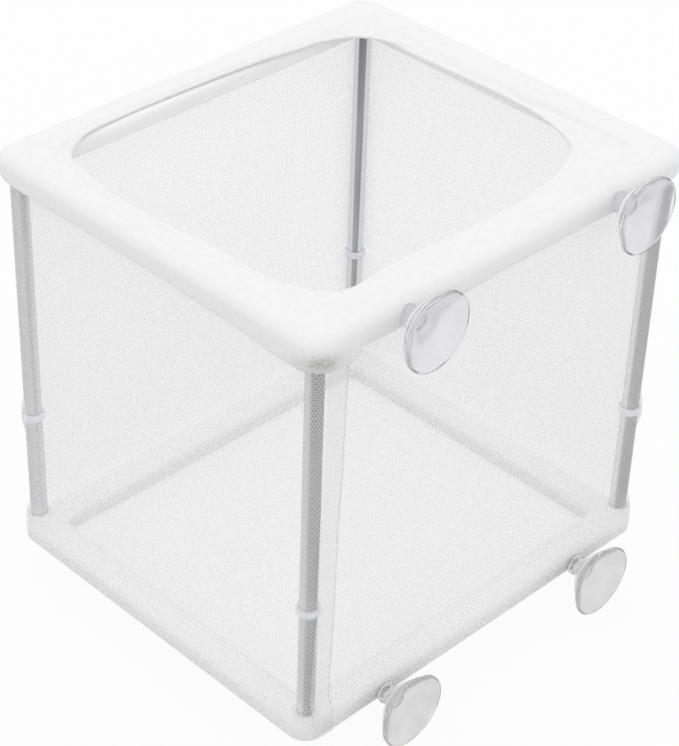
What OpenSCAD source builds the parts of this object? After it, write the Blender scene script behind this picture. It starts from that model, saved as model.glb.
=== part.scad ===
// Fish breeding box: a net bag stretched over two moulded frames on four posts,
// held to the tank glass by suction cups. Millimetres, +Z up, cups on the -Y side.
// The origin is the middle of the net floor's underside.

/* [Box] */
// Length of a frame along the suction cup side
frame_x = 168.5; // [130:0.5:240]
// Length of a frame from front to back
frame_y = 149; // [120:0.5:220]
// Height from the underside of the floor net to the top of the hem
box_h = 160; // [110:1:260]

/* [Frames] */
// Width of a rail, seen from above
rail_w = 12; // [10.5:0.5:14]
// Height of a rail
rail_h = 7; // [6.8:0.1:10]
// Thickness of the two side walls of the rail's channel
wall_t = 1.8; // [1.4:0.1:2.2]
// Thickness of the web that closes the channel
web_t = 1.4; // [1:0.1:1.5]
// Outside corner radius of a frame, in plan
corner_r = 7; // [6:0.5:8.5]
// Inside corner radius of a frame, in plan
inner_corner_r = 3; // [1:0.5:6]
// Rounding of a rail's two edges on the web side
edge_r = 2.6; // [0.5:0.1:3]
// Rounding of a rail's two edges on the open side
foot_r = 1.2; // [0.4:0.1:1.3]
// Thickness of the cross ribs in the channel
rib_t = 1.2; // [0.8:0.1:2]
// Distance from the open side of the channel down to the ribs
rib_drop = 1.5; // [0.5:0.1:3]
// Distance from a suction cup hole to the ribs beside it
rib_offset = 14; // [8:0.5:20]
// Cross ribs in each rail that has no suction cups
side_ribs = 3; // [1:1:7]

/* [Posts] */
// Outside diameter of the post tubes
tube_d = 6; // [4.5:0.1:7]
// Wall thickness of the post tubes
tube_wall = 0.5; // [0.3:0.1:1]
// Distance from a frame's outside faces to the post axes
post_inset = 5.3; // [5.2:0.1:6]
// Thickness of the floor of each socket
socket_floor = 1.9; // [1:0.1:4]
// Wall thickness of each socket
socket_wall = 1.6; // [1:0.1:1.8]
// Radial clearance between a tube and its socket
socket_clear = 0.05; // [0.02:0.01:0.1]
// Height of the bosses round the bottom frame's sockets, above its web
boss_h = 3; // [1:0.1:6]
// Wall thickness of those bosses
boss_wall = 1.3; // [1:0.1:1.6]
// Height of the middle of the stop collars above the floor net's underside
collar_z = 54; // [35:0.1:80]
// Diameter of the stop collars
collar_d = 8.2; // [7.4:0.1:10]
// Height of the stop collars
collar_h = 2.6; // [1.6:0.1:5]
// Rounding of the stop collars' edges
collar_r = 0.6; // [0.2:0.1:0.7]
// Length of a joiner's spigot in each tube
spigot_l = 10; // [5:0.5:18]
// Radial clearance between a spigot and the tube's bore
spigot_clear = 0.05; // [0.02:0.01:0.1]
// Chamfer on the ends of the spigots
spigot_chamfer = 0.6; // [0.2:0.1:1]

/* [Suction cups] */
// Diameter of a suction cup's lip
cup_d = 27; // [20:0.5:32]
// Distance from the hem's outside to the lip
cup_reach = 13; // [11:0.1:15]
// Distance between the axes of a pair of cups
cup_spacing = 96.6; // [60:0.2:100]
// Height of a cup's axis above the open side of its frame's channel
cup_axis_h = 2.8; // [2.6:0.1:2.9]
// Diameter of the neck that turns in the frame
neck_d = 3.8; // [3:0.1:4]
// Radial clearance of the neck in the frame
neck_clear = 0.05; // [0.02:0.01:0.1]
// Diameter of the head that holds the cup in the channel
head_d = 5; // [4.6:0.1:5.2]
// Thickness of the head
head_l = 2.4; // [1.5:0.1:3]
// Diameter of the shoulder outside the hem
shoulder_d = 7.4; // [6.4:0.1:9]
// Thickness of the shoulder
shoulder_l = 1.3; // [0.8:0.1:2]
// Diameter of the stem between the shoulder and the dish
stem_d = 6; // [5:0.1:6.4]
// Depth of the hollow in the dish
dish_depth = 4.8; // [3:0.1:4.8]
// Thickness of the lip
lip_t = 0.6; // [0.4:0.1:1]
// Width of the flat ring that meets the glass
lip_w = 0.7; // [0.4:0.1:1.5]
// Height of the waist between the shoulder and the dish
waist_l = 2.2; // [0.4:0.1:3]
// Shape of the dish's back: 1 is a straight cone, more is flatter at the stem
dish_power = 1.3; // [1:0.05:1.6]
// Free play between a cup and the hem or the channel wall
cup_play = 0.3; // [0.2:0.05:0.5]

/* [Net] */
// Thickness of the net
net_t = 0.4; // [0.3:0.1:0.8]
// Clearance between the net or hem and the frames
net_gap = 0.1; // [0.05:0.05:0.3]
// Width of a strand in the drawn net
strand_w = 1.1; // [0.6:0.1:2]
// Gaps along the front and the back
gaps_x = 16; // [6:1:16]
// Gaps along the two ends
gaps_y = 14; // [5:1:14]
// Gaps from the lower rail up to the hem
gaps_z = 14; // [5:1:14]
// Width of the plain margin round each flat panel of net
net_margin = 1.2; // [0.8:0.1:3]
// Part of each corner turn, in degrees, that stays open between plain margins
corner_gap_angle = 66; // [40:1:72]
// Width of the seam lap round the front left corner
lap_w = 8.5; // [8:0.1:12]
// Length of the seam lap that lies on the flat front
lap_flat = 7; // [0.8:0.1:7.5]

/* [Hem] */
// Thickness of the hem fabric
hem_t = 0.9; // [0.6:0.1:1.5]
// Height of the hem's skirt
hem_h = 10; // [8:0.1:14]
// Reach of the flap past the left rail's inner face, below 0 where it ends on the rail
flap_left = -2; // [-5:0.1:12]
// Reach of the flap past the right rail's inner face
flap_right = 3.2; // [-5:0.1:14]
// Reach of the flap past the front rail's inner face
flap_front = 3.5; // [-5:0.1:12]
// Reach of the flap past the back rail's inner face, below 0 where it ends on the rail
flap_back = -0.6; // [-5:0.1:12]
// Corner radius of the opening at the front left
open_r_fl = 25; // [6:0.5:30]
// Corner radius of the opening at the back left
open_r_bl = 18; // [6:0.5:30]
// Corner radius of the opening at the back right
open_r_br = 18; // [6:0.5:30]
// Corner radius of the opening at the front right
open_r_fr = 30; // [6:0.5:30]
// Diameter of the elastic edging
elastic_d = 0.9; // [0.6:0.1:1]

/* [Hidden] */
$fn = 96;
EPS = 0.01;

// Heights of the stack, from the floor net up
lower_frame_z = net_t + net_gap;
lower_rail_top = lower_frame_z + rail_h;
upper_frame_top = box_h - hem_t - net_gap;
hem_bottom = box_h - hem_h;

// Post axes and the ends of the tubes
post_x = frame_x / 2 - post_inset;
post_y = frame_y / 2 - post_inset;
socket_r = tube_d / 2 + socket_clear;
lower_tube_bottom = lower_frame_z + socket_floor;
lower_tube_top = collar_z - collar_h / 2;
upper_tube_bottom = collar_z + collar_h / 2;
upper_tube_top = upper_frame_top - socket_floor;
tube_bore_r = tube_d / 2 - tube_wall;

// Suction cup axes and the faces that the cups work against
cup_x = cup_spacing / 2;
upper_cup_z = upper_frame_top - rail_h + cup_axis_h;
lower_cup_z = lower_frame_z + cup_axis_h;
hem_face_y = frame_y / 2 + net_gap + hem_t;
neck_hole_r = neck_d / 2 + neck_clear;
cloth_hole_r = neck_d / 2 + cup_play;

// Faces of the net, measured out from the frames
net_in = net_gap;
net_out = net_gap + net_t;
flat_x = frame_x - 2 * corner_r;
flat_y = frame_y - 2 * corner_r;
inner_x = frame_x / 2 - rail_w;
inner_y = frame_y / 2 - rail_w;
strip_w = max(edge_r, foot_r);

// Edges of the opening in the hem, and its corners from the front left, anticlockwise
open_x0 = -inner_x + flap_left;
open_x1 = inner_x - flap_right;
open_y0 = -inner_y + flap_front;
open_y1 = inner_y - flap_back;
OPEN_CORNERS = [
    [open_x0, open_y0, open_r_fl, 180],
    [open_x1, open_y0, open_r_fr, 270],
    [open_x1, open_y1, open_r_br, 0],
    [open_x0, open_y1, open_r_bl, 90]
];

// Sweeps a 2D section round a rectangle with round corners.
// The section lies at x <= 0 with its outer face at x = 0, and its y becomes height.
module sweep_ring(size_x, size_y, r) {
    for (side = [[0, size_x, size_y], [90, size_y, size_x], [180, size_x, size_y], [270, size_y, size_x]]) {
        length = side[1] - 2 * r;
        rotate([0, 0, side[0]])
            translate([-length / 2, -side[2] / 2, 0])
                rotate([90, 0, 90])
                    linear_extrude(length)
                        mirror([1, 0])
                            children();
    }
    for (corner = [[1, 1, 0], [-1, 1, 90], [-1, -1, 180], [1, -1, 270]])
        translate([corner[0] * (size_x / 2 - r), corner[1] * (size_y / 2 - r), 0])
            rotate([0, 0, corner[2]])
                rotate_extrude(angle = 90)
                    translate([r, 0])
                        children();
}

module rounded_plate(size_x, size_y, r) {
    square([size_x - 2 * r, size_y], center = true);
    square([size_x, size_y - 2 * r], center = true);
    for (sx = [-1, 1], sy = [-1, 1])
        translate([sx * (size_x / 2 - r), sy * (size_y / 2 - r)])
            circle(r);
}

// Half section of a rail's edge strip: its outer face is at x = 0, its open side at y = 0
module edge_strip() {
    difference() {
        translate([-strip_w, 0])
            square([strip_w, rail_h]);
        translate([-edge_r, rail_h - edge_r])
            difference() {
                square(2 * edge_r);
                circle(edge_r);
            }
        translate([-foot_r, foot_r])
            mirror([0, 1])
                difference() {
                    square(2 * foot_r);
                    circle(foot_r);
                }
    }
}

// The outside shape of a frame, without its channel
module frame_outline() {
    sweep_ring(frame_x, frame_y, corner_r)
        edge_strip();
    sweep_ring(2 * inner_x, 2 * inner_y, inner_corner_r)
        mirror([1, 0])
            edge_strip();
    linear_extrude(rail_h)
        difference() {
            rounded_plate(frame_x - 2 * strip_w, frame_y - 2 * strip_w, corner_r - strip_w);
            rounded_plate(2 * (inner_x + strip_w), 2 * (inner_y + strip_w), inner_corner_r + strip_w);
        }
}

// One moulded frame: a channel that is open below, cross ribs, and corner sockets,
// which open above, through the web, or below, into the channel
module frame_moulding(sockets_above) {
    difference() {
        union() {
            difference() {
                frame_outline();
                translate([0, 0, -EPS])
                    linear_extrude(rail_h - web_t + EPS)
                        difference() {
                            rounded_plate(frame_x - 2 * wall_t, frame_y - 2 * wall_t, corner_r - wall_t);
                            rounded_plate(2 * (inner_x + wall_t), 2 * (inner_y + wall_t), inner_corner_r + wall_t);
                        }
            }
            frame_ribs();
            intersection() {
                frame_outline();
                for (sx = [-1, 1], sy = [-1, 1])
                    translate([sx * post_x, sy * post_y, 0])
                        cylinder(r = socket_r + socket_wall, h = rail_h);
            }
            if (sockets_above)
                socket_bosses();
        }
        for (sx = [-1, 1], sy = [-1, 1])
            translate([sx * post_x, sy * post_y, sockets_above ? socket_floor : -EPS])
                cylinder(r = socket_r, h = rail_h - socket_floor + (sockets_above ? boss_h : 0) + EPS);
        for (sx = [-1, 1])
            translate([sx * cup_x, -frame_y / 2 + wall_t + EPS, cup_axis_h])
                rotate([90, 0, 0])
                    cylinder(r = neck_hole_r, h = wall_t + 2 * EPS);
    }
}

// Round bosses that lengthen the sockets above the web, kept within the frame's outside faces
module socket_bosses() {
    intersection() {
        linear_extrude(rail_h + boss_h)
            rounded_plate(frame_x, frame_y, corner_r);
        for (sx = [-1, 1], sy = [-1, 1])
            translate([sx * post_x, sy * post_y, rail_h / 2])
                cylinder(r = socket_r + boss_wall, h = rail_h / 2 + boss_h);
    }
}

module frame_ribs() {
    rib_y = frame_y / 2 - rail_w + wall_t;
    rib_x = frame_x / 2 - rail_w + wall_t;
    rib_run = rail_w - 2 * wall_t;
    near = cup_x - rib_offset;
    far = cup_x + rib_offset;
    for (x = [-far, -near, 0, near, far], y = [-rib_y - rib_run, rib_y])
        translate([x - rib_t / 2, y, rib_drop])
            cube([rib_t, rib_run, rail_h - web_t - rib_drop]);
    for (i = [1:side_ribs], x = [-rib_x - rib_run, rib_x])
        translate([x, -flat_y / 2 + i * flat_y / (side_ribs + 1) - rib_t / 2, rib_drop])
            cube([rib_run, rib_t, rail_h - web_t - rib_drop]);
}

module bottom_frame() {
    color("white")
        translate([0, 0, lower_frame_z])
            frame_moulding(true);
}

module top_frame() {
    color("white")
        translate([0, 0, upper_frame_top - rail_h])
            frame_moulding(false);
}

module tube(sx, sy, z0, z1) {
    color([0.72, 0.73, 0.76])
        translate([sx * post_x, sy * post_y, z0])
            difference() {
                cylinder(d = tube_d, h = z1 - z0);
                translate([0, 0, -EPS])
                    cylinder(r = tube_bore_r, h = z1 - z0 + 2 * EPS);
            }
}

module upper_tube(sx, sy) {
    tube(sx, sy, upper_tube_bottom, upper_tube_top);
}

module lower_tube(sx, sy) {
    tube(sx, sy, lower_tube_bottom, lower_tube_top);
}

// A solid pin with a stop collar that both tubes of a post butt against
module joiner(sx, sy) {
    pin_r = tube_bore_r - spigot_clear;
    pin_end = collar_h / 2 + spigot_l;
    color([0.9, 0.91, 0.93])
        translate([sx * post_x, sy * post_y, collar_z])
            rotate_extrude()
                union() {
                    polygon([
                        [0, -pin_end], [pin_r - spigot_chamfer, -pin_end], [pin_r, spigot_chamfer - pin_end],
                        [pin_r, pin_end - spigot_chamfer], [pin_r - spigot_chamfer, pin_end], [0, pin_end]
                    ]);
                    translate([0, -collar_h / 2])
                        square([collar_d / 2 - collar_r, collar_h]);
                    translate([0, collar_r - collar_h / 2])
                        square([collar_d / 2, collar_h - 2 * collar_r]);
                    for (sz = [-1, 1])
                        translate([collar_d / 2 - collar_r, sz * (collar_h / 2 - collar_r)])
                            circle(collar_r);
                }
}

// Half section of a suction cup: x is the radius, y the distance out from the hem's face.
// It runs from the head inside the channel along the back to the lip and into the hollow.
function cup_section() =
    let (
        lip_r = cup_d / 2,
        neck_r = neck_d / 2,
        wall_in = -(hem_t + net_gap + wall_t + cup_play),
        stem_end = cup_play + shoulder_l + waist_l,
        head_round = head_l / 2,
        hollow_r = lip_r - lip_w,
        steps = 12
    )
    concat(
        [[0, wall_in - head_l]],
        [for (i = [0:4]) let (a = i * 22.5)
            [head_d / 2 - head_round * (1 - sin(a)), wall_in - head_l + head_round * (1 - cos(a))]],
        [[head_d / 2, wall_in], [neck_r, wall_in], [neck_r, cup_play], [shoulder_d / 2, cup_play]],
        [[shoulder_d / 2, cup_play + shoulder_l], [stem_d / 2, stem_end]],
        [for (i = [1:steps]) let (u = i / steps)
            [stem_d / 2 + (lip_r - stem_d / 2) * u,
             stem_end + (cup_reach - lip_t - stem_end) * pow(u, dish_power)]],
        [[lip_r, cup_reach], [hollow_r, cup_reach]],
        [for (i = [1:steps]) let (u = i / steps)
            [hollow_r * (1 - u), cup_reach - dish_depth * (1 - pow(1 - u, 2))]]
    );

module suction_cup(sx, z) {
    color([0.87, 0.88, 0.95, 0.6])
        translate([sx * cup_x, -hem_face_y, z])
            rotate([90, 0, 0])
                rotate_extrude()
                    polygon(cup_section());
}

// A flat panel from [0, 0] to [w, h] with a grid of gaps between y0 and h.
// The gaps are drawn wide: those of the real net are about 1 mm across.
module net_panel(w, h, y0, cols, rows) {
    gap_w = (w - 2 * net_margin - (cols - 1) * strand_w) / cols;
    gap_h = (h - y0 - 2 * net_margin - (rows - 1) * strand_w) / rows;
    difference() {
        square([w, h]);
        for (i = [0:cols - 1], j = [0:rows - 1])
            translate([net_margin + i * (gap_w + strand_w), y0 + net_margin + j * (gap_h + strand_w)])
                square([gap_w, gap_h]);
    }
}

// Lower edge of the wall net, its height, and the start of its gaps above the rail
wall_h = hem_bottom - net_t;
gap_start = lower_rail_top - net_t;

module wall_panel(length, cols) {
    translate([-length / 2, 0, net_t])
        rotate([90, 0, 0])
            linear_extrude(net_t)
                net_panel(length, wall_h, gap_start, cols, gaps_z);
}

module net_front() {
    color([0.97, 0.97, 0.98, 0.5])
        difference() {
            translate([0, -frame_y / 2 - net_in, 0])
                wall_panel(flat_x, gaps_x);
            for (sx = [-1, 1])
                translate([sx * cup_x, 0, lower_cup_z])
                    rotate([90, 0, 0])
                        cylinder(r = cloth_hole_r, h = frame_y);
        }
}

module net_back() {
    color([0.97, 0.97, 0.98, 0.5])
        translate([0, frame_y / 2 + net_out, 0])
            wall_panel(flat_x, gaps_x);
}

module net_left() {
    color([0.97, 0.97, 0.98, 0.5])
        rotate([0, 0, 90])
            translate([0, frame_x / 2 + net_out, 0])
                wall_panel(flat_y, gaps_y);
}

module net_right() {
    color([0.97, 0.97, 0.98, 0.5])
        rotate([0, 0, 90])
            translate([0, -frame_x / 2 - net_in, 0])
                wall_panel(flat_y, gaps_y);
}

// The quarter turns of the wall net at the four corners
module net_corners() {
    gap_h = (wall_h - gap_start - 2 * net_margin - (gaps_z - 1) * strand_w) / gaps_z;
    color([0.97, 0.97, 0.98, 0.5])
        for (corner = [[1, 1, 0], [-1, 1, 90], [-1, -1, 180], [1, -1, 270]])
            translate([corner[0] * flat_x / 2, corner[1] * flat_y / 2, 0])
                rotate([0, 0, corner[2]])
                    difference() {
                        translate([0, 0, net_t])
                            rotate_extrude(angle = 90)
                                translate([corner_r + net_in, 0])
                                    square([net_t, wall_h]);
                        for (j = [0:gaps_z - 1])
                            translate([0, 0, net_t + gap_start + net_margin + j * (gap_h + strand_w)])
                                rotate([0, 0, 45 - corner_gap_angle / 2])
                                    rotate_extrude(angle = corner_gap_angle)
                                        translate([corner_r, 0])
                                            square([2 * net_out, gap_h]);
                    }
}

// The lapped end of the wall strip, sewn down round the front left corner
module net_seam_lap() {
    lap_r = corner_r + net_out;
    lap_angle = (lap_w - lap_flat) / lap_r * 180 / PI;
    color([0.95, 0.95, 0.96, 0.7])
        translate([-flat_x / 2, -flat_y / 2, net_t])
            linear_extrude(wall_h) {
                intersection() {
                    difference() {
                        circle(lap_r + net_t);
                        circle(lap_r);
                    }
                    polygon([[0, 0], [0, -2 * lap_r], 2 * lap_r * [-sin(lap_angle), -cos(lap_angle)]]);
                }
                translate([0, -lap_r - net_t])
                    square([lap_flat, net_t]);
            }
}

module net_floor() {
    side_x = 2 * inner_x;
    side_y = 2 * inner_y;
    color([0.97, 0.97, 0.98, 0.5])
        linear_extrude(net_t) {
            difference() {
                rounded_plate(frame_x + 2 * net_out, frame_y + 2 * net_out, corner_r + net_out);
                square([side_x, side_y], center = true);
            }
            translate([-side_x / 2, -side_y / 2])
                net_panel(side_x, side_y, 0, gaps_x, gaps_y);
        }
}

// Outline of the opening in the hem
module opening_shape() {
    difference() {
        translate([open_x0, open_y0])
            square([open_x1 - open_x0, open_y1 - open_y0]);
        for (c = OPEN_CORNERS)
            translate([c[0], c[1]])
                rotate(c[3])
                    translate([-c[2], -c[2]])
                        difference() {
                            square(2 * c[2]);
                            circle(c[2]);
                        }
    }
}

// White fabric over the top frame: a skirt, a rounded top edge, and a flap with the opening
module hem_cover() {
    cover = net_gap + hem_t;
    color([0.98, 0.98, 0.98])
        difference() {
            union() {
                translate([0, 0, hem_bottom])
                    sweep_ring(frame_x + 2 * cover, frame_y + 2 * cover, corner_r + cover)
                        hem_section(cover);
                translate([0, 0, box_h - hem_t])
                    linear_extrude(hem_t)
                        difference() {
                            rounded_plate(frame_x - 2 * edge_r, frame_y - 2 * edge_r, corner_r - edge_r);
                            opening_shape();
                        }
            }
            for (sx = [-1, 1])
                translate([sx * cup_x, 0, upper_cup_z])
                    rotate([90, 0, 0])
                        cylinder(r = cloth_hole_r, h = frame_y);
        }
}

// Skirt and rounded top edge of the hem
module hem_section(cover) {
    outer_r = edge_r + cover;
    inner_r = edge_r + net_gap;
    translate([-hem_t, 0])
        square([hem_t, hem_h - outer_r]);
    translate([-outer_r, hem_h - outer_r])
        intersection() {
            difference() {
                circle(outer_r);
                circle(inner_r);
            }
            square(outer_r);
        }
}

// A round cord inside the edge of the opening, at the flap's own level
module elastic_edging() {
    inset = elastic_d / 2 + EPS;
    color([0.93, 0.93, 0.94])
        translate([0, 0, box_h - hem_t / 2]) {
            for (i = [0:3]) {
                a = OPEN_CORNERS[i];
                b = OPEN_CORNERS[(i + 1) % 4];
                span = i % 2 == 0 ? abs(b[0] - a[0]) : abs(b[1] - a[1]);
                translate([a[0], a[1], 0])
                    rotate([0, 0, i * 90])
                        translate([a[2], inset, 0])
                            rotate([0, 90, 0])
                                cylinder(d = elastic_d, h = span - a[2] - b[2]);
                translate([a[0], a[1], 0])
                    rotate([0, 0, a[3]])
                        translate([-a[2], -a[2], 0])
                            rotate_extrude(angle = 90)
                                translate([a[2] - inset, 0])
                                    circle(d = elastic_d);
            }
        }
}

top_frame();
bottom_frame();
upper_tube(-1, -1);  // upper_tube_front_left
upper_tube(1, -1);  // upper_tube_front_right
upper_tube(-1, 1);  // upper_tube_back_left
upper_tube(1, 1);  // upper_tube_back_right
lower_tube(-1, -1);  // lower_tube_front_left
lower_tube(1, -1);  // lower_tube_front_right
lower_tube(-1, 1);  // lower_tube_back_left
lower_tube(1, 1);  // lower_tube_back_right
joiner(-1, -1);  // joiner_front_left
joiner(1, -1);  // joiner_front_right
joiner(-1, 1);  // joiner_back_left
joiner(1, 1);  // joiner_back_right
suction_cup(-1, upper_cup_z);  // suction_cup_upper_left
suction_cup(1, upper_cup_z);  // suction_cup_upper_right
suction_cup(-1, lower_cup_z);  // suction_cup_lower_left
suction_cup(1, lower_cup_z);  // suction_cup_lower_right
net_floor();
net_front();
net_back();
net_left();
net_right();
net_corners();
net_seam_lap();
hem_cover();
elastic_edging();
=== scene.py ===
"""Looks of a net breeding box: net bag, soft hem, metal posts, clear suction cups and a white studio."""
import math

import bpy

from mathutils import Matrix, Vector, noise


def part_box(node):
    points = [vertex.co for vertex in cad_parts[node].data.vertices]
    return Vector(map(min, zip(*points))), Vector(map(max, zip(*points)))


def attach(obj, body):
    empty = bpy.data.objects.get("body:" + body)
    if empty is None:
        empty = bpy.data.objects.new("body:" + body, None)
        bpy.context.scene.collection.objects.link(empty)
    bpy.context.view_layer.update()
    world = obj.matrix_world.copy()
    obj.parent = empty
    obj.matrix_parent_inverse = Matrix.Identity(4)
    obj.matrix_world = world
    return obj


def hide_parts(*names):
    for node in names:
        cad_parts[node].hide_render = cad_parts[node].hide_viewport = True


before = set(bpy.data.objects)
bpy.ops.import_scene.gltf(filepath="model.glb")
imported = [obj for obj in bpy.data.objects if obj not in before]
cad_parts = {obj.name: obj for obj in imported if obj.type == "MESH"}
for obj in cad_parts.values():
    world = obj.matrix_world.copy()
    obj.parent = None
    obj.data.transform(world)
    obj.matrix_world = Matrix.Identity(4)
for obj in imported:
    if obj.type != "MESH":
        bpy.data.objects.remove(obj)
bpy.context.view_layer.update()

MM = 0.001

# Sizes of the CAD that its boxes don't give: the rails' width, corner radii and half the collars' height
rail_w = 12 * MM
bag_r = 7.5 * MM
hem_r = 8 * MM
ring_half = 1.3 * MM

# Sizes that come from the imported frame. Those named hx and hy are half widths of outlines round the origin
frame_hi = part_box("bottom_frame")[1]
hem_lo, hem_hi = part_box("hem_cover")
tube_lo, tube_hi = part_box("upper_tube_back_right")
ring_lo, ring_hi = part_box("joiner_back_right")
floor_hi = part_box("net_floor")[1]
cup_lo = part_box("suction_cup_lower_left")[0]
hem_hx, hem_hy = hem_hi.x, hem_hi.y
bag_hx, bag_hy = floor_hi.x, floor_hi.y
hem_bottom, hem_top = hem_lo.z, hem_hi.z
post = (tube_lo + tube_hi) / 2
tube_r = (tube_hi.x - tube_lo.x) / 2
ring_r = (ring_hi.x - ring_lo.x) / 2
ring_z = tube_lo.z - ring_half
rail_hx, rail_hy = frame_hi.x - rail_w, frame_hi.y - rail_w

# Sizes of the soft pieces. The hem's way runs from the skirt's lower edge over the rail to the opening
wall_bottom = 1.6 * MM
turn_under = 1.5 * MM
wall_inset = 0.2 * MM
net_off_post = 0.35 * MM
lap_w = 8.5 * MM
cloth_t = 0.4 * MM
elastic_gap = 0.1 * MM


# Working by hand, in code

def start_clean():
    """Nothing selected, so that the next operator acts on the new piece alone."""
    if bpy.context.object and bpy.context.object.mode != "OBJECT":
        bpy.ops.object.mode_set(mode="OBJECT")
    bpy.ops.object.select_all(action="DESELECT")


def select_only(piece):
    start_clean()
    piece.select_set(True)
    bpy.context.view_layer.objects.active = piece


def new_grid(name, columns, rows):
    """A flat grid with its corners at 0 and 1, ready to be shaped."""
    start_clean()
    bpy.ops.mesh.primitive_grid_add(x_subdivisions=columns, y_subdivisions=rows, size=1,
                                    location=(0.5, 0.5, 0))
    bpy.ops.object.transform_apply(location=True, rotation=True, scale=True)
    piece = bpy.context.object
    piece.name = name
    piece.data.name = name
    return piece


def shape_grid(piece, place, flat_uv=lambda u, v: (u, v)):
    """Moves each point of a new grid to place(u, v), and gives it flat_uv(u, v) as its UV."""
    flat = [(p.co.x, p.co.y) for p in piece.data.vertices]
    layer = piece.data.uv_layers.active or piece.data.uv_layers.new(name="UVMap")
    for corner in piece.data.loops:
        layer.data[corner.index].uv = flat_uv(*flat[corner.vertex_index])
    for point, (u, v) in zip(piece.data.vertices, flat):
        point.co = place(u, v)
    piece.data.update()


def finish_modifier(piece, kind, **values):
    select_only(piece)
    bpy.ops.object.modifier_add(type=kind)
    modifier = piece.modifiers[-1]
    for key, value in values.items():
        setattr(modifier, key, value)
    bpy.ops.object.modifier_apply(modifier=modifier.name)


def merge_seam(piece):
    """Joins the two ends of a grid that has been bent into a ring."""
    select_only(piece)
    bpy.ops.object.mode_set(mode="EDIT")
    bpy.ops.mesh.select_all(action="SELECT")
    bpy.ops.mesh.remove_doubles(threshold=0.02 * MM)
    bpy.ops.mesh.normals_make_consistent(inside=False)
    bpy.ops.object.mode_set(mode="OBJECT")


def smooth(piece, angle=None):
    """Smooth shading, all over or only across edges that turn by less than angle, in degrees."""
    select_only(piece)
    if angle is None:
        bpy.ops.object.shade_smooth()
    else:
        bpy.ops.object.shade_smooth_by_angle(angle=math.radians(angle))


def paint(piece, material):
    piece.data.materials.clear()
    piece.data.materials.append(material)


def gentle(point, size, amount, seed):
    """A slow unevenness in a soft surface, the same in each run. Size is the spacing of its bumps."""
    return amount * noise.noise(Vector(point) / size + Vector((seed, seed * 0.7, -seed)))


# Outlines, seen from above

def rounded_rectangle(s, hx, hy, r):
    """Point and outward normal at the share s of the way round, from the middle of the front left corner.

    The way runs anticlockwise: front, right, back, left."""
    straight_x, straight_y, turn = 2 * (hx - r), 2 * (hy - r), r * math.pi / 2
    runs = [turn / 2, straight_x, turn, straight_y, turn, straight_x, turn, straight_y, turn / 2]
    far = (s % 1.0) * sum(runs)
    index = 0
    while index < 8 and far > runs[index]:
        far -= runs[index]
        index += 1
    corners = [(-1, -1, 180), (1, -1, 270), (1, 1, 0), (-1, 1, 90)]
    if index % 2 == 0:
        cx, cy, start = corners[(index // 2) % 4]
        lead = turn / 2 if index == 0 else 0
        angle = math.radians(start) + (far + lead) / r
        normal = Vector((math.cos(angle), math.sin(angle), 0))
        return Vector((cx * (hx - r), cy * (hy - r), 0)) + r * normal, normal
    side = index // 2
    along = [Vector((1, 0, 0)), Vector((0, 1, 0)), Vector((-1, 0, 0)), Vector((0, -1, 0))]
    # A side faces the way that the side before it runs
    along, normal = along[side], along[side - 1]
    cx, cy, _ = corners[side]
    start = Vector((cx * (hx - r), cy * (hy - r), 0)) + r * normal
    return start + along * far, normal


def corner_shares(hx, hy, r):
    """Shares of the way round at the middle of each corner, starting with the front left."""
    straight_x, straight_y, turn = 2 * (hx - r), 2 * (hy - r), r * math.pi / 2
    total = 2 * (straight_x + straight_y) + 4 * turn
    return [0.0, (straight_x + turn) / total, (straight_x + straight_y + 2 * turn) / total,
            (2 * straight_x + straight_y + 3 * turn) / total, 1.0]


# Opening in the hem, in millimetres: the first point of each side is the middle of a corner
OPENING = [
    [(-59.5, -57.2), (-52.5, -59.4), (-41, -58.4), (-28, -58.4), (-12, -59), (4, -60), (24, -59),
     (43.5, -55.2)],
    [(57.5, -48.6), (62, -42.8), (65, -35), (67.2, -22.5), (67.8, -8), (67.5, 6), (67.2, 20), (66.8, 34)],
    [(67.2, 44), (62.5, 54.4), (50, 59.8), (35, 61.3), (20, 62.7), (4, 63.6), (-16, 64.1), (-36, 64.2),
     (-54, 63)],
    [(-65.4, 59), (-69.6, 53), (-73, 43), (-75, 30), (-75.6, 18), (-74.6, 3), (-73, -13), (-71.6, -29),
     (-68.4, -42), (-64, -52)],
]
opening_points = [Vector((x * MM, y * MM, 0)) for side in OPENING for x, y in side]
side_starts = [0]
for side in OPENING:
    side_starts.append(side_starts[-1] + len(side))


def opening_at(side, t):
    """Point on the opening's smooth outline, at the share t along one of its four sides."""
    count = len(opening_points)
    place = side_starts[side] + t * (side_starts[side + 1] - side_starts[side])
    i = int(math.floor(place))
    f = place - i
    a, b, c, d = (opening_points[(i + k) % count] for k in (-1, 0, 1, 2))
    square, cube = 2 * a - 5 * b + 4 * c - d, 3 * b - a - 3 * c + d
    return 0.5 * (2 * b + (c - a) * f + square * f * f + cube * f * f * f)


def hem_station(s):
    """Outer point, outward normal and the opening's point for the share s of the way round."""
    shares = corner_shares(hem_hx, hem_hy, hem_r)
    s = s % 1.0
    side = max(k for k in range(4) if s >= shares[k] - 1e-9)
    t = (s - shares[side]) / (shares[side + 1] - shares[side])
    outer, normal = rounded_rectangle(s, hem_hx, hem_hy, hem_r)
    return outer, normal, opening_at(side, t)


# Node groups and materials

def socket_in(group, name, kind, value=None):
    socket = group.interface.new_socket(name=name, in_out="INPUT", socket_type=kind)
    if value is not None:
        socket.default_value = value


def socket_out(group, name, kind):
    group.interface.new_socket(name=name, in_out="OUTPUT", socket_type=kind)


def fill(tree, node, links):
    """Fills a node's inputs, each with a value or with another node's output."""
    for name, value in links.items():
        target = node.inputs[name]
        if isinstance(value, bpy.types.NodeSocket):
            tree.links.new(value, target)
        else:
            target.default_value = value


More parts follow.
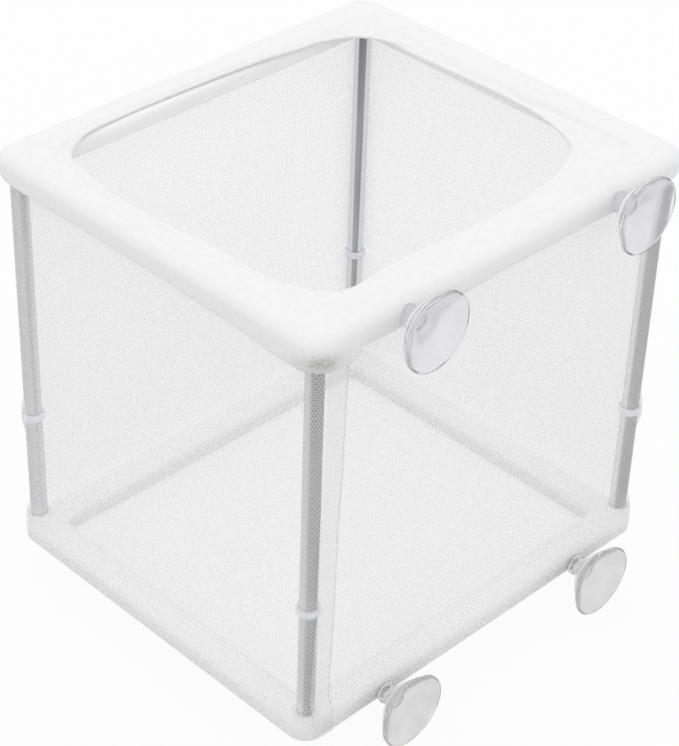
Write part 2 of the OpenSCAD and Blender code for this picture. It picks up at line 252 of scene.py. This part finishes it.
def add(tree, kind, links=None, **values):
    """A node with its settings, and with its inputs filled."""
    made = tree.nodes.new(kind)
    for key, value in values.items():
        setattr(made, key, value)
    fill(tree, made, links or {})
    return made


def math_node(tree, operation, a, b=0.0, clamp=False):
    return add(tree, "ShaderNodeMath", {0: a, 1: b}, operation=operation, use_clamp=clamp).outputs[0]


def map_range(tree, value, start=(0.0, 1.0), end=(0.0, 1.0), **values):
    """Value carried over from the range start to the range end."""
    links = {"Value": value, "From Min": start[0], "From Max": start[1], "To Min": end[0], "To Max": end[1]}
    return add(tree, "ShaderNodeMapRange", links, **values).outputs["Result"]


def mix_colours(tree, share, a, b):
    """Colour that goes from a to b as share goes from 0 to 1."""
    made = add(tree, "ShaderNodeMix", {"Factor": share, "A": a, "B": b}, data_type="RGBA")
    return [o for o in made.outputs if o.type == "RGBA"][0]


def colour_ramp(tree, value, start, end, dark, light):
    """Colour that goes from dark to light as value goes from start to end."""
    made = add(tree, "ShaderNodeValToRGB", {"Fac": value})
    for stop, position, colour in zip(made.color_ramp.elements, (start, end), (dark, light)):
        stop.position = position
        stop.color = colour
    return made.outputs["Color"]


def noise_in(tree, place, scale, **links):
    """Fractal noise at a place in metres."""
    return add(tree, "ShaderNodeTexNoise", {"Vector": place, "Scale": scale, **links}).outputs["Fac"]


def ends_of(group):
    """The sockets that come into a group, and those that leave it."""
    return group.nodes.new("NodeGroupInput").outputs, group.nodes.new("NodeGroupOutput").inputs


def knitted_net_group():
    """Staggered oval holes of a knitted net. Vector is in metres along and across the net.

    Pitch and Row are the spacings of the holes, and Hole and Softness are shares of the pitch."""
    group = bpy.data.node_groups.new("knitted_net", "ShaderNodeTree")
    socket_in(group, "Vector", "NodeSocketVector")
    socket_in(group, "Pitch", "NodeSocketFloat", 1.28 * MM)
    socket_in(group, "Row", "NodeSocketFloat", 0.96 * MM)
    socket_in(group, "Hole", "NodeSocketFloat", 0.36)
    socket_in(group, "Softness", "NodeSocketFloat", 0.1)
    socket_out(group, "Thread", "NodeSocketFloat")
    socket_out(group, "Height", "NodeSocketFloat")
    enter, leave = ends_of(group)
    split = add(group, "ShaderNodeSeparateXYZ", {"Vector": enter["Vector"]}).outputs
    across = math_node(group, "DIVIDE", split["X"], enter["Pitch"])
    double_row = math_node(group, "MULTIPLY", enter["Row"], 2.0)
    up = math_node(group, "DIVIDE", split["Y"], double_row)
    flatness = 1.72
    reach = []
    for shift in (0.0, 0.5):
        squares = []
        for value, stretch in ((across, 1.0), (up, flatness)):
            value = math_node(group, "FRACT", math_node(group, "ADD", value, shift))
            value = math_node(group, "ABSOLUTE", math_node(group, "SUBTRACT", value, 0.5))
            squares.append(math_node(group, "POWER", math_node(group, "MULTIPLY", value, stretch), 2.0))
        reach.append(math_node(group, "SQRT", math_node(group, "ADD", *squares)))
    nearest = math_node(group, "MINIMUM", reach[0], reach[1])
    edge = math_node(group, "SUBTRACT", nearest, enter["Hole"])
    thread = math_node(group, "ADD", math_node(group, "DIVIDE", edge, enter["Softness"]), 0.5, clamp=True)
    group.links.new(thread, leave["Thread"])
    group.links.new(nearest, leave["Height"])
    return group


def soft_cloth_group():
    """Fine brushed fibres with slow shading, for the hem and its trimmings. Vector is in metres."""
    group = bpy.data.node_groups.new("soft_cloth", "ShaderNodeTree")
    socket_in(group, "Vector", "NodeSocketVector")
    socket_in(group, "Fibre", "NodeSocketFloat", 1600.0)
    socket_in(group, "Nap", "NodeSocketFloat", 420.0)
    socket_in(group, "Light", "NodeSocketColor", (0.94, 0.94, 0.94, 1))
    socket_in(group, "Dark", "NodeSocketColor", (0.86, 0.86, 0.86, 1))
    socket_out(group, "Color", "NodeSocketColor")
    socket_out(group, "Height", "NodeSocketFloat")
    enter, leave = ends_of(group)
    fibre = noise_in(group, enter["Vector"], enter["Fibre"], Detail=3.0, Roughness=0.6)
    nap = noise_in(group, enter["Vector"], enter["Nap"], Detail=4.0, Roughness=0.55)
    fibre = math_node(group, "MULTIPLY", fibre, 0.55)
    nap = math_node(group, "MULTIPLY", nap, 0.9)
    height = math_node(group, "ADD", fibre, nap)
    tone = map_range(group, height, (0.45, 1.0))
    group.links.new(mix_colours(group, tone, enter["Dark"], enter["Light"]), leave["Color"])
    group.links.new(height, leave["Height"])
    return group


def moulding_group():
    """Faint mottling and fine surface waves of moulded plastic or drawn metal. Vector is in metres."""
    group = bpy.data.node_groups.new("moulding", "ShaderNodeTree")
    socket_in(group, "Vector", "NodeSocketVector")
    socket_in(group, "Grain", "NodeSocketFloat", 900.0)
    socket_in(group, "Cloud", "NodeSocketFloat", 60.0)
    socket_out(group, "Grain", "NodeSocketFloat")
    socket_out(group, "Cloud", "NodeSocketFloat")
    enter, leave = ends_of(group)
    for name in ("Grain", "Cloud"):
        group.links.new(noise_in(group, enter["Vector"], enter[name], Detail=3.0), leave[name])
    return group


NET = knitted_net_group()
CLOTH = soft_cloth_group()
MOULDING = moulding_group()


def new_material(name):
    material = bpy.data.materials.new(name)
    material.use_nodes = True
    tree = material.node_tree
    tree.nodes.clear()
    shader = tree.nodes.new("ShaderNodeBsdfPrincipled")
    add(tree, "ShaderNodeOutputMaterial", {"Surface": shader.outputs[0]})
    return material, tree, shader


def placed_group(tree, group, links):
    return add(tree, "ShaderNodeGroup", links, node_tree=group).outputs


def object_place(tree):
    return tree.nodes.new("ShaderNodeTexCoord").outputs["Object"]


def bump(tree, shader, height, distance, strength):
    made = add(tree, "ShaderNodeBump", {"Height": height, "Distance": distance, "Strength": strength})
    fill(tree, shader, {"Normal": made.outputs[0]})


def net_material(name, width, height, hole=0.36):
    """White knitted net on a piece whose UV runs from 0 to 1 over width and height, in metres."""
    material, tree, shader = new_material(name)
    uv = add(tree, "ShaderNodeUVMap", uv_map="UVMap")
    scaled = add(tree, "ShaderNodeMapping", {"Vector": uv.outputs[0], "Scale": (width, height, 1)})
    net = placed_group(tree, NET, {"Vector": scaled.outputs[0], "Hole": hole})
    hole_cover, thread_cover = 0.23, 0.53
    gain = math_node(tree, "MULTIPLY", net["Thread"], thread_cover - hole_cover)
    hole_tone, thread_tone = (0.86, 0.86, 0.865, 1), (0.94, 0.94, 0.945, 1)
    fill(tree, shader, {"Alpha": math_node(tree, "ADD", gain, hole_cover), "Roughness": 0.75,
                        "Base Color": mix_colours(tree, net["Thread"], hole_tone, thread_tone)})
    bump(tree, shader, net["Height"], 0.2 * MM, 0.15)
    return material


def cloth_material(name, light, dark, bump_height, gathered=None):
    """Soft fabric or thread, with painted shade in small pleats where the attribute that gathered names is
    high.
    """
    material, tree, shader = new_material(name)
    place = object_place(tree)
    cloth = placed_group(tree, CLOTH, {"Vector": place, "Light": light, "Dark": dark})
    colour = cloth["Color"]
    if gathered:
        # Painted shade: a dark tone mixed in among small pleats where the attribute is high
        share = add(tree, "ShaderNodeAttribute", attribute_name=gathered).outputs["Fac"]
        grain = placed_group(tree, MOULDING, {"Vector": place, "Grain": 1900.0})
        pleats = map_range(tree, grain["Grain"], (0.4, 0.6), (1.0, 0.45))
        colour = mix_colours(tree, math_node(tree, "MULTIPLY", share, pleats), colour, (0.42, 0.42, 0.41, 1))
    fill(tree, shader, {"Base Color": colour, "Roughness": 0.9, "Sheen Weight": 0.2})
    bump(tree, shader, cloth["Height"], bump_height, 0.8)
    return material


def frame_material():
    """White moulded plastic, a little warmer than the cloth."""
    material, tree, shader = new_material("white_moulded_plastic")
    grain = placed_group(tree, MOULDING, {"Vector": object_place(tree)})
    tone = colour_ramp(tree, grain["Cloud"], 0.35, 0.7, (0.965, 0.965, 0.96, 1), (0.985, 0.985, 0.98, 1))
    fill(tree, shader, {"Base Color": tone, "Roughness": map_range(tree, grain["Grain"], end=(0.35, 0.5))})
    bump(tree, shader, grain["Grain"], 0.03 * MM, 0.6)
    return material


def tube_material(name, core, flank, turn, band):
    """Drawn metal tube with fine lines along it, with painted shade under the hem.

    The tone is core on a band along the tube and flank at its sides: a painted reflection, set by how squarely
    the surface faces the camera. Turn moves the band round from the middle, in degrees, and band holds where
    its edge begins and ends, as shares of the facing."""
    material, tree, shader = new_material(name)
    place = object_place(tree)
    stretched = add(tree, "ShaderNodeMapping", {"Vector": place, "Scale": (1, 1, 0.03)})
    lines = placed_group(tree, MOULDING, {"Vector": stretched.outputs[0], "Grain": 2600.0, "Cloud": 700.0})
    dark, light = (core * 0.82, core * 0.82, core * 0.84, 1), (core * 1.18, core * 1.18, core * 1.2, 1)
    tone = colour_ramp(tree, lines["Cloud"], 0.3, 0.75, dark, light)
    height = add(tree, "ShaderNodeSeparateXYZ", {"Vector": place}).outputs["Z"]
    # Painted shade: the tone is darkened towards the top of the tube, below the hem
    painted_hem_shade = map_range(tree, height, (118 * MM, 150 * MM), (1.0, 0.7))
    shaded = add(tree, "ShaderNodeHueSaturation", {"Color": tone, "Value": painted_hem_shade}).outputs["Color"]
    # Painted reflection: core tone down the band of the turned facing and flank tone at its sides
    normal = tree.nodes.new("ShaderNodeNewGeometry").outputs["Normal"]
    turned = add(tree, "ShaderNodeVectorRotate", {"Vector": normal, "Angle": math.radians(turn)},
                 rotation_type="Z_AXIS")
    edge = add(tree, "ShaderNodeLayerWeight", {"Normal": turned.outputs[0], "Blend": 0.5})
    beside = map_range(tree, edge.outputs["Facing"], band, interpolation_type="SMOOTHSTEP")
    fill(tree, shader, {"Base Color": mix_colours(tree, beside, shaded, (flank, flank, flank * 1.03, 1)),
                        "Roughness": map_range(tree, lines["Grain"], end=(0.24, 0.36)), "Metallic": 0.9})
    bump(tree, shader, lines["Grain"], 0.01 * MM, 0.5)
    return material


def collar_material():
    """Slightly milky plastic of the joiners."""
    material, tree, shader = new_material("joiner_plastic")
    grain = placed_group(tree, MOULDING, {"Vector": object_place(tree), "Grain": 700.0})
    fill(tree, shader, {"Base Color": (0.85, 0.85, 0.89, 1), "Subsurface Weight": 0.2,
                        "Subsurface Scale": 2 * MM,
                        "Roughness": map_range(tree, grain["Grain"], end=(0.2, 0.34))})
    bump(tree, shader, grain["Grain"], 0.02 * MM, 0.4)
    return material


def vinyl_material(name, dark, light, clear):
    """Soft vinyl with soft waves from dark to light. Clear is the share of the light that goes through."""
    material, tree, shader = new_material(name)
    waves = placed_group(tree, MOULDING, {"Vector": object_place(tree), "Grain": 300.0, "Cloud": 150.0})
    fill(tree, shader, {"Base Color": colour_ramp(tree, waves["Cloud"], 0.36, 0.66, dark, light),
                        "Roughness": map_range(tree, waves["Cloud"], end=(0.1, 0.2)),
                        "Transmission Weight": clear, "IOR": 1.25})
    bump(tree, shader, waves["Grain"], 0.04 * MM, 0.35)
    return material


# The net bag

def ramp(value, start, end):
    """Smooth step from 0 at start to 1 at end, which may lie below start."""
    t = min(1.0, max(0.0, (value - start) / (end - start)))
    return t * t * (3 - 2 * t)


def bell(value, width):
    """1 at zero, fading to both sides."""
    return math.exp(-(value / width) ** 2)


def bag_size(z, from_corner):
    """Half sizes and corner radius of the bag at a height.

    It stands out round both frames, and between them it is drawn in to the posts and their collars."""
    above_frame, below_hem = ramp(z, 9 * MM, 17 * MM), ramp(z, hem_bottom + 3 * MM, hem_bottom - 0.5 * MM)
    drawn = above_frame * below_hem
    over_ring = ramp(abs(z - ring_z), 8 * MM, 1.8 * MM) * bell(from_corner, 9 * MM)
    reach = tube_r + net_off_post + (ring_r - tube_r) * over_ring
    round_frames, round_posts = (bag_hx, bag_hy, bag_r), (post.x + reach, post.y + reach, reach)
    return [a + (b - a) * drawn for a, b in zip(round_frames, round_posts)]


def wall_point(side, t, z):
    """Point of the bag's wall and its outward normal, at the share t along a side.

    The wall is gently uneven between the posts."""
    from_corner = min(t, 1 - t) * 2 * bag_hx
    hx, hy, r = bag_size(z, from_corner)
    shares = corner_shares(hx, hy, r)
    point, normal = rounded_rectangle(shares[side] + t * (shares[side + 1] - shares[side]), hx, hy, r)
    free = ramp(from_corner, 3 * MM, 30 * MM) * ramp(z, 12 * MM, 45 * MM)
    free *= ramp(z, hem_bottom, hem_bottom - 25 * MM)
    hollow = 0.25 * MM + gentle((point.x, point.y, z * 0.2), 30 * MM, 0.35 * MM, 3.1)
    return point - normal * (wall_inset + hollow * free) + Vector((0, 0, z)), normal


def toward_ends(u, strength):
    """Spreads the columns of a grid so that they lie closer together near both ends."""
    return u - strength * math.sin(2 * math.pi * u) / (2 * math.pi)


def make_wall_sheet(side, name):
    """One side of the wall strip, turned in at the foot.

    It runs from the middle of one corner to the middle of the next."""
    length = 2 * ((bag_hx if side % 2 == 0 else bag_hy) - bag_r) + bag_r * math.pi / 2
    height = hem_bottom + 3 * MM
    foot = turn_under * math.pi / 2 / height
    piece = new_grid(name, columns=110, rows=96)

    def place(u, v):
        t = toward_ends(u, 0.75)
        if v >= foot:
            return wall_point(side, t, wall_bottom + (v - foot) / (1 - foot) * (height - wall_bottom))[0]
        base, normal = wall_point(side, t, wall_bottom)
        angle = (1 - v / foot) * math.pi / 2
        down = Vector((0, 0, -turn_under * math.sin(angle)))
        return base - normal * turn_under * (1 - math.cos(angle)) + down

    shape_grid(piece, place, lambda u, v: (toward_ends(u, 0.75), v))
    smooth(piece)
    paint(piece, net_material("net_of_" + name, length, height))
    return piece, (length, height)


def make_floor_sheet():
    """The bag's floor, with round corners, flat on what the box stands on."""
    hx, hy, r = bag_hx - turn_under, bag_hy - turn_under, bag_r - turn_under
    piece = new_grid("net_floor_sheet", columns=90, rows=80)

    def place(u, v):
        x, y = (2 * u - 1) * hx, (2 * v - 1) * hy
        over_x, over_y = abs(x) - (hx - r), abs(y) - (hy - r)
        if over_x > 0 and over_y > 0:
            far = math.hypot(over_x, over_y)
            k = max(over_x, over_y) / far
            x = math.copysign(hx - r + over_x * k, x)
            y = math.copysign(hy - r + over_y * k, y)
        inside = min(1, max(0, min(rail_hx - abs(x), rail_hy - abs(y)) / (14 * MM)))
        rise = 0.2 * MM + gentle((x, y, 0), 35 * MM, 0.2 * MM, 8.2)
        return Vector((x, y, 0.12 * MM + inside * rise))

    shape_grid(piece, place)
    smooth(piece)
    paint(piece, net_material("net_of_floor", 2 * hx, 2 * hy))
    return piece, (2 * hx, 2 * hy)


def seam_edge(v):
    """Place of the lap's free edge along X, which wanders toward the post on its way down."""
    at = (0, 0, v * 150 * MM)
    wander = gentle(at, 20 * MM, 0.5 * MM, 5.5) + gentle(at, 6 * MM, 0.14 * MM, 2.5)
    top_x, drift = -67.6 * MM, 4.4 * MM
    return top_x - drift * (1 - v) ** 0.8 + wander


def make_seam_lap():
    """The lapped end of the wall strip, sewn down beside the front left post."""
    height = hem_bottom + 2 * MM
    piece = new_grid("net_seam_lap_sheet", columns=10, rows=90)

    def place(u, v):
        x = seam_edge(v) - u * lap_w
        z = 1.0 * MM + v * height
        lift = 0.28 * MM * (1 - u) + 0.12 * MM
        hx, hy, r = bag_size(z, bag_hx + x)
        turn_x, turn_y = -(hx - r), -(hy - r)
        if x >= turn_x:
            return Vector((x, -hy - lift, z))
        angle = (turn_x - x) / r
        return Vector((turn_x - (r + lift) * math.sin(angle), turn_y - (r + lift) * math.cos(angle), z))

    shape_grid(piece, place)
    smooth(piece)
    paint(piece, net_material("net_of_seam_lap", lap_w, height, hole=0.31))
    return piece


def make_seam_thread():
    """Row of small stitches along the free edge of the seam lap. Their grey, darker than the net, is painted
    shade along that edge.
    """
    height, count = hem_bottom - 3 * MM, 58
    start_clean()
    bpy.ops.mesh.primitive_cylinder_add(vertices=6, radius=0.13 * MM, depth=2.1 * MM)
    first = bpy.context.object
    select_only(first)
    bpy.ops.object.mode_set(mode="EDIT")
    bpy.ops.mesh.select_all(action="SELECT")
    bpy.ops.mesh.bevel(offset=0.06 * MM, segments=1)
    bpy.ops.object.mode_set(mode="OBJECT")
    stitches = []
    for i in range(count):
        t = (i + 0.5) / count
        z = 1.5 * MM + t * height
        x = seam_edge(0.02 + 0.96 * t) - 0.9 * MM
        y = -bag_size(z, bag_hx + x)[1] - 0.45 * MM
        stitch = first.copy()
        stitch.data = first.data.copy()
        bpy.context.scene.collection.objects.link(stitch)
        stitch.rotation_euler = (0, 0.12 * math.sin(i * 2.1) + 0.06 * math.sin(i * 0.7), 0)
        stitch.location = (x, y, z)
        stitches.append(stitch)
    bpy.data.objects.remove(first)
    start_clean()
    for stitch in stitches:
        stitch.select_set(True)
    bpy.context.view_layer.objects.active = stitches[0]
    bpy.ops.object.join()
    bpy.ops.object.transform_apply(location=True, rotation=True, scale=True)
    piece = bpy.context.object
    piece.name = "net_seam_stitches"
    piece.data.name = piece.name
    smooth(piece, angle=40)
    # Painted shade: the thread's grey stands in for the line of shade at the lap's edge
    paint(piece, cloth_material("sewing_thread_painted_shade", (0.78, 0.78, 0.79, 1), (0.66, 0.66, 0.68, 1), 0.05 * MM))
    return piece


# The hem

def fullness(x, y):
    """1 along the front and left sides of the opening, and 0 along the back and right sides."""
    return ramp(x / hem_hx + y / hem_hy, 0.45, -0.2)


def roll_radius(x, y):
    """The rolled edge is full along the front and left sides and drawn flat along the back and right sides."""
    return (0.42 + 0.58 * fullness(x, y)) * MM


def flap_height(x, y, reach):
    """Height of the flap's top at the share reach of its way in from the rim.

    It lies on the rail, with a raised edge there, and sags where it spans an open corner."""
    inside = max(min(rail_hx - abs(x), rail_hy - abs(y)), 0)
    sag = 1.9 * MM * (1 - math.exp(-inside / (3.5 * MM)))
    lift = (2 * roll_radius(x, y) - 0.95 * MM) * max(0.0, 1 - inside / (3 * MM)) * reach ** 4
    crown = 0.5 * MM * math.sin(math.pi * reach)
    return hem_top - sag + lift + crown


def crease_depth(x, y):
    """A short crease where the flap bends over the right rail's inner edge, near the front corner."""
    fade = min(1, max(0, (-6 * MM - y) / (14 * MM))) * min(1, max(0, (y + 66 * MM) / (6 * MM)))
    line = 70.4 * MM + 0.6 * MM * math.sin(y / (9 * MM))
    return 0.75 * MM * fade * bell(x - line, 0.9 * MM)


def skirt_bulge(t, corner, straight):
    """How far the skirt stands out from its seat, from its gathered lower edge to the round top edge."""
    swell = 1.0 * MM * math.sin(math.pi * (0.12 + 0.1 * straight + (0.5 - 0.1 * straight) * t))
    return swell - (1.4 + 0.8 * corner - 0.2 * straight) * MM * (1 - t) ** (4 - 1.4 * corner + 2 * straight)


def corner_drop(from_left, from_front):
    """How far the skirt hangs lower round the front left post.

    It is most over the seam lap, and fades along the left side."""
    front = (3.2 + 0.8 * ramp(from_left, 8 * MM, 14 * MM)) * ramp(from_left, 19.5 * MM, 16.5 * MM)
    side = (1 - 0.25 * ramp(from_front, 1 * MM, 8 * MM)) * ramp(from_front, 44 * MM, 12 * MM)
    return front * MM * side


def mark_painted_pleat_shade(piece):
    """Point attribute for painted shade in the small pleats of the skirt round the front left post, most
    towards its lower edge.
    """
    painted_pleat_shade = piece.data.attributes.new("painted_pleat_shade", "FLOAT", "POINT")
    for point, value in zip(piece.data.vertices, painted_pleat_shade.data):
        from_left, from_front, z = point.co.x + hem_hx, point.co.y + hem_hy, point.co.z - hem_bottom
        round_it = ramp(from_left, 17 * MM, 4 * MM) * ramp(from_front, 14 * MM, 2 * MM)
        round_it *= ramp(z, 6.5 * MM, 1.5 * MM)
        middle = ramp(from_left, 11 * MM, 4 * MM) * ramp(from_front, 5 * MM, 1 * MM)
        value.value = min(1.0, 0.5 * round_it + 0.6 * middle * bell(z - 2.4 * MM, 2.7 * MM))


def make_hem():
    """White fabric over the top frame: skirt, round top edge, flap and the rolled edge of the opening."""
    round_r = 3.6 * MM
    flap_w, roll_w = 14 * MM, 3.6 * MM
    parts = [hem_top - round_r - hem_bottom, round_r * math.pi / 2, flap_w, roll_w]
    skirt_end, round_end, flap_end = (sum(parts[:k]) / sum(parts) for k in (1, 2, 3))
    puckers = 130
    piece = new_grid("hem_cover_cloth", columns=440, rows=56)

    def place(u, v):
        share = toward_ends(u, 0.6)
        outer, normal, inner = hem_station(share)
        from_left, from_front = outer.x + hem_hx, outer.y + hem_hy
        lower = hem_bottom - corner_drop(from_left, from_front)
        skirt_h = hem_top - round_r - lower
        gather = ramp(from_left, 20 * MM, 6 * MM) * ramp(from_front, 20 * MM, 6 * MM)
        puff = gentle((outer.x, outer.y, v * 30 * MM), 26 * MM, 0.75 * MM, 1.3)
        puff += gentle((outer.x, outer.y, v * 20 * MM), 8 * MM, 0.22 * MM, 7.7)
        ring = share * 2 * math.pi
        # Corner is 1 in the middle of each corner, and straight is 1 along the left side
        corner = min(abs(normal.x), abs(normal.y)) * 1.414
        straight = max(0.0, -normal.x) * (1 - corner) * ramp(from_front, 10 * MM, 40 * MM)
        if v <= skirt_end:
            t = v / skirt_end
            point = outer + normal * (skirt_bulge(t, corner, straight) + puff * t)
            pleats = 0.2 * MM * (math.sin(ring * 270) + 0.5 * math.sin(ring * 170))
            point += normal * gather * pleats * (1 - t) ** 2
            wave = (0.3 * math.sin(ring * 7 + 1) + 0.16 * math.sin(ring * 17)) * MM * (1 - t)
            return Vector((point.x, point.y, lower + t * skirt_h + wave))
        if v <= round_end:
            angle = (v - skirt_end) / (round_end - skirt_end) * math.pi / 2
            # The round edge goes on with the slope that the skirt's bulge has at its top
            slope = (0.5 - 0.1 * straight) * math.pi * MM * math.cos(math.pi * 0.62) / skirt_h
            lean = slope * round_r * math.sin(angle)
            bulge = (skirt_bulge(1, corner, straight) + lean) * math.cos(angle) ** 2 + puff * math.cos(angle)
            point = outer - normal * round_r * (1 - math.cos(angle)) + normal * bulge
            return Vector((point.x, point.y, hem_top - round_r + round_r * math.sin(angle)))
        edge_in = outer - normal * round_r
        run = inner - edge_in
        inward = run.normalized()
        if v <= flap_end:
            t = (v - round_end) / (flap_end - round_end)
            point = edge_in + run * t
            to_edge = (1 - t) * run.length
            near = max(0.0, 1 - to_edge / (5 * MM))
            pucker = 0.16 * MM * math.sin(ring * puckers + 2 * math.sin(ring * 7)) * near * near
            wave = gentle((point.x, point.y, 0), 22 * MM, 0.6 * MM, 2.2) * math.sin(math.pi * t)
            groove = 0.3 * MM * bell(to_edge - 2.3 * MM, 0.45 * MM)
            top = flap_height(point.x, point.y, t) - crease_depth(point.x, point.y)
            return Vector((point.x, point.y, top + pucker + wave - groove))
        angle = (v - flap_end) / (1 - flap_end) * math.radians(234)
        roll = roll_radius(inner.x, inner.y) * (1 + 0.1 * math.sin(ring * puckers))
        top = flap_height(inner.x, inner.y, 1)
        point = inner + inward * roll * (0.4 + 0.6 * fullness(inner.x, inner.y)) * math.sin(angle)
        return Vector((point.x, point.y, top - roll * (1 - math.cos(angle))))

    shape_grid(piece, place, lambda u, v: (u, v * 0.1))
    merge_seam(piece)
    cut = sum(face.area for face in piece.data.polygons)
    mark_painted_pleat_shade(piece)
    finish_modifier(piece, "SOLIDIFY", thickness=cloth_t, offset=-1.0)
    smooth(piece)
    paint(piece, cloth_material("hem_cloth", (0.905, 0.905, 0.905, 1), (0.855, 0.855, 0.857, 1), 0.18 * MM,
                                gathered="painted_pleat_shade"))
    return piece, cut


def make_elastic():
    """Covered elastic cord inside the rolled edge of the flap."""
    piece = new_grid("elastic_edging_cord", columns=300, rows=10)

    def place(u, v):
        _, _, inner = hem_station(u)
        roll = roll_radius(inner.x, inner.y)
        r = max(roll - cloth_t - elastic_gap, 0.07 * MM)
        _, _, ahead = hem_station(u + 0.002)
        along = (ahead - inner).normalized()
        inward = Vector((-along.y, along.x, 0))
        centre = inner + Vector((0, 0, flap_height(inner.x, inner.y, 1) - roll))
        angle = v * 2 * math.pi
        return centre + inward * r * math.cos(angle) + Vector((0, 0, r * math.sin(angle)))

    shape_grid(piece, place, lambda u, v: (u, v * 0.02))
    merge_seam(piece)
    smooth(piece)
    paint(piece, cloth_material("elastic_cover", (0.9, 0.9, 0.91, 1), (0.78, 0.78, 0.8, 1), 0.1 * MM))
    return piece


# Materials on the frame's own pieces

plastic = frame_material()
# One metal in three copies, each post with its own painted reflection and painted shade for where it stands in
# the light
metal_back_painted_reflection = tube_material("drawn_metal_back", core=0.4, flank=0.78, turn=0, band=(0.19, 0.235))
metal_left_painted_reflection = tube_material("drawn_metal_left", core=0.52, flank=0.62, turn=-20, band=(0.19, 0.25))
metal_near_painted_reflection = tube_material("drawn_metal_near", core=0.3, flank=0.72, turn=-44, band=(0.5, 0.78))
collar = collar_material()
# One vinyl in two copies: the upper cups painted lighter and the lower cups painted darker, for how light falls
# on them
vinyl_upper_painted_light = vinyl_material("clear_vinyl_upper", dark=(0.92, 0.92, 0.945, 1), light=(0.985, 0.985, 0.995, 1),
                             clear=0.9)
vinyl_lower_painted_shade = vinyl_material("clear_vinyl_lower", dark=(0.79, 0.79, 0.79, 1), light=(0.88, 0.88, 0.88, 1),
                             clear=0.75)
for name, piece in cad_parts.items():
    if name.endswith("_frame"):
        paint(piece, plastic)
    elif "_tube_" in name:
        paint(piece, metal_back_painted_reflection if "back_right" in name else metal_left_painted_reflection if "back_left" in name else metal_near_painted_reflection)
    elif name.startswith("joiner"):
        paint(piece, collar)
    elif name.startswith("suction_cup"):
        paint(piece, vinyl_upper_painted_light if "_upper_" in name else vinyl_lower_painted_shade)

# The soft pieces, each in the place of its solid

lap_sheet = make_seam_lap()
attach(lap_sheet, "box")
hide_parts("net_seam_lap")
seam_stitches = make_seam_thread()
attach(seam_stitches, "box")

WALLS = [("net_front_sheet", ["net_front", "net_corners"]), ("net_right_sheet", ["net_right"]),
         ("net_back_sheet", ["net_back"]), ("net_left_sheet", ["net_left"])]
for side, (name, nodes) in enumerate(WALLS):
    sheet, flat = make_wall_sheet(side, name)
    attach(sheet, "box")
    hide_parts(*nodes)

floor_sheet, flat = make_floor_sheet()
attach(floor_sheet, "box")
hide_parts("net_floor")

hem, hem_area = make_hem()
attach(hem, "box")
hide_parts("hem_cover")

elastic = make_elastic()
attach(elastic, "box")
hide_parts("elastic_edging")


# Studio

def seen_directly(tree):
    """1 for rays of the camera, of reflections and through clear pieces, and 0 for those that only light."""
    ray = tree.nodes.new("ShaderNodeLightPath").outputs
    seen = math_node(tree, "MAXIMUM", ray["Is Camera Ray"], ray["Is Glossy Ray"])
    return math_node(tree, "MAXIMUM", seen, ray["Is Transmission Ray"])


def make_floor():
    """White ground just below the lower cups, that shows only the faintest of shadows."""
    start_clean()
    bpy.ops.mesh.primitive_plane_add(size=6, location=(0, 0, cup_lo.z - 0.05 * MM))
    floor = bpy.context.object
    floor.name = "studio_floor"
    material = bpy.data.materials.new("studio_white")
    material.use_nodes = True
    tree = material.node_tree
    tree.nodes.clear()
    diffuse = add(tree, "ShaderNodeBsdfDiffuse", {"Color": (0.75, 0.75, 0.75, 1)})
    glow = add(tree, "ShaderNodeEmission", {"Color": (1, 1, 1, 1), "Strength": 1.0})
    floor_glow = 0.94
    share = math_node(tree, "MULTIPLY", seen_directly(tree), floor_glow)
    mixed = add(tree, "ShaderNodeMixShader", {0: share, 1: diffuse.outputs[0], 2: glow.outputs[0]})
    add(tree, "ShaderNodeOutputMaterial", {"Surface": mixed.outputs[0]})
    paint(floor, material)


def make_lights():
    """A white surrounding and one large soft light overhead."""
    world = bpy.data.worlds.new("studio_world")
    bpy.context.scene.world = world
    world.use_nodes = True
    tree = world.node_tree
    tree.nodes.clear()
    soft = add(tree, "ShaderNodeBackground", {"Color": (1.0, 1.0, 1.0, 1), "Strength": 0.96})
    white = add(tree, "ShaderNodeBackground", {"Color": (1, 1, 1, 1), "Strength": 1.0})
    seen = seen_directly(tree)
    mixed = add(tree, "ShaderNodeMixShader", {0: seen, 1: soft.outputs[0], 2: white.outputs[0]})
    add(tree, "ShaderNodeOutputWorld", {"Surface": mixed.outputs[0]})

    start_clean()
    bpy.ops.object.light_add(type="AREA", location=(0.25, 0.35, 1.3),
                             rotation=(math.radians(-15), math.radians(11), 0))
    key = bpy.context.object
    key.name = "overhead_softbox"
    key.data.shape = "SQUARE"
    key.data.size = 1.3
    key.data.energy = 1.8


def make_camera():
    """Camera solved on the photo from the posts, the collars and the outlines of both rims."""
    start_clean()
    bpy.ops.object.camera_add(location=(-0.45342, -0.44501, 0.52364),
                              rotation=[math.radians(a) for a in (54.508, -1.5955, -44.355)])
    camera = bpy.context.object
    camera.name = "photo_camera"
    camera.data.lens = 108.44
    camera.data.sensor_width = 36
    camera.data.shift_x = 0.00723
    camera.data.shift_y = -0.00195
    camera.data.clip_start, camera.data.clip_end = 0.01, 20
    bpy.context.scene.camera = camera


make_floor()
make_lights()
make_camera()
bpy.context.scene.view_settings.view_transform = "Standard"
start_clean()
